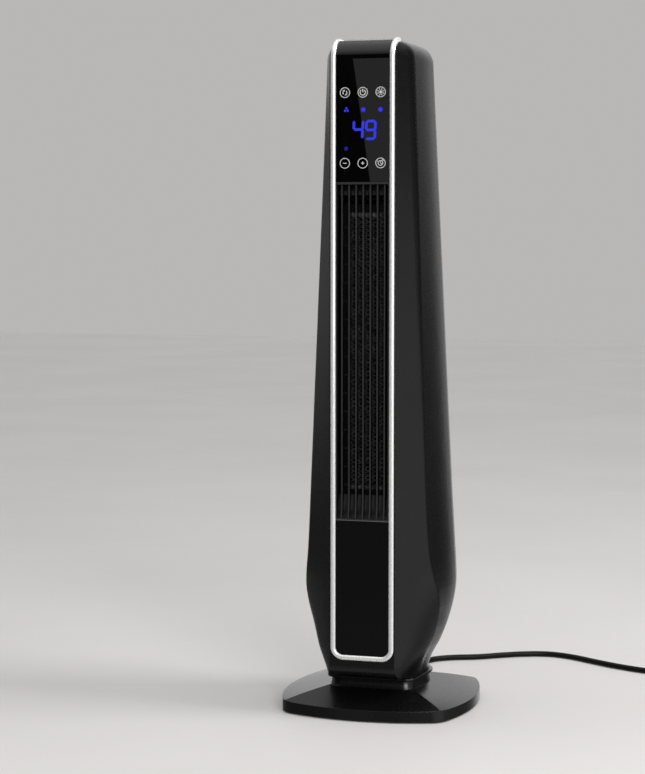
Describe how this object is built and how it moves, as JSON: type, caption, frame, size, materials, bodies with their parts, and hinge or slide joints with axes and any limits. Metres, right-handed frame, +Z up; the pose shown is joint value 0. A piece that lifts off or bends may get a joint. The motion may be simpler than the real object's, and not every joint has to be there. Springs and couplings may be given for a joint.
{
  "type": "fan convector heater",
  "caption": "Oscillating upright tower fan heater with a touch panel, slatted air outlet, silver trim and a square pyramid base.",
  "frame": {"origin": "centre of the base on the floor, on the axis that the tower swings about", "axes": "+Z up, the front with the touch panel faces -Y, +X to the right of someone looking at the front"},
  "size_m": [0.5231, 0.4066, 0.745],
  "materials": {
    "satin_black": "satin",
    "matt_black": "matt",
    "gloss_black": "gloss",
    "panel_glass": "gloss",
    "bright_silver": "satin",
    "steel": "brushed",
    "ballast_iron": "rough",
    "foot_rubber": "matt",
    "gear_nylon": "matt",
    "cord_pvc": "satin",
    "pin_brass": "bright",
    "board_green": "satin",
    "display_blue": "emissive",
    "ptc_metal": "brushed",
    "duct_plastic": "matt",
    "motor_steel": "satin"
  },
  "bodies": {
    "base": {"base_cover": "satin_black", "base_plate": "matt_black", "base_weight": "ballast_iron", "base_feet": "foot_rubber", "base_screws": "steel", "swivel_spindle": "steel", "swivel_washer": "matt_black", "swing_gear": "gear_nylon", "spindle_nut": "steel", "swivel_lead": "cord_pvc", "tip_switch": "gear_nylon", "strain_relief": "cord_pvc", "mains_cord": "cord_pvc", "cord_coil": "cord_pvc", "cord_tie": "gear_nylon", "cord_tail": "cord_pvc", "plug_body": "cord_pvc", "plug_pins": "pin_brass"},
    "tip_plunger": {"tip_plunger": "gear_nylon"},
    "tower": {"front_shell": "satin_black", "rear_shell": "satin_black", "tower_floor": "matt_black", "rear_screws": "steel", "hand_hold": "satin_black", "switch_housing": "matt_black", "silver_trim": "bright_silver", "top_cap": "satin_black", "control_glass": "panel_glass", "lower_panel": "gloss_black", "front_frame": "matt_black", "outlet_grille": "matt_black", "finger_guard": "steel", "control_board": "board_green", "led_display": "display_blue", "touch_springs": "pin_brass", "ptc_element": "ptc_metal", "heater_frame": "duct_plastic", "thermal_cutouts": "duct_plastic", "fan_motor": "motor_steel", "motor_mounts": "foot_rubber", "top_bush": "pin_brass", "duct_ends": "duct_plastic", "scroll_wall": "duct_plastic", "tongue_wall": "duct_plastic", "power_board": "board_green", "board_parts": "duct_plastic", "board_bracket": "duct_plastic", "swing_bracket": "steel", "swing_motor": "motor_steel", "tower_lead": "cord_pvc"},
    "fan": {"fan_wheel": "duct_plastic", "fan_shaft": "steel"},
    "swing_pinion": {"swing_pinion": "gear_nylon", "swing_shaft": "steel"},
    "rocker": {"rocker": "gloss_black"},
    "intake_cover": {"intake_cover": "satin_black", "dust_filter": "matt_black"}
  },
  "joints": [
    {"name": "tower_swing", "type": "hinge", "parent": "base", "child": "tower", "pos_m": [0, 0, 0.045], "axis": [0, 0, 1], "range_deg": [-35, 35]},
    {"name": "pinion_spin", "type": "hinge", "parent": "tower", "child": "swing_pinion", "pos_m": [0, -0.04, 0.0515], "axis": [0, 0, 1], "range_deg": [-140, 140]},
    {"name": "fan_spin", "type": "hinge", "parent": "tower", "child": "fan", "pos_m": [0, -0.008, 0.4], "axis": [0, 0, 1], "continuous": true},
    {"name": "rocker_press", "type": "hinge", "parent": "tower", "child": "rocker", "pos_m": [0, 0.0708, 0.152], "axis": [1, 0, 0], "range_deg": [0, 10]},
    {"name": "plunger_travel", "type": "slide", "parent": "base", "child": "tip_plunger", "axis": [0, 0, 1], "range_m": [-0.004, 0], "stiffness_N_per_m": 80, "springref_m": -0.006},
    {"name": "intake_cover_pull", "type": "slide", "parent": "tower", "child": "intake_cover", "axis": [0, 1, 0], "range_m": [0, 0.04]}
  ],
  "couplings": [
    {"joint": "pinion_spin", "follows": "tower_swing", "ratio": 4}
  ]
}
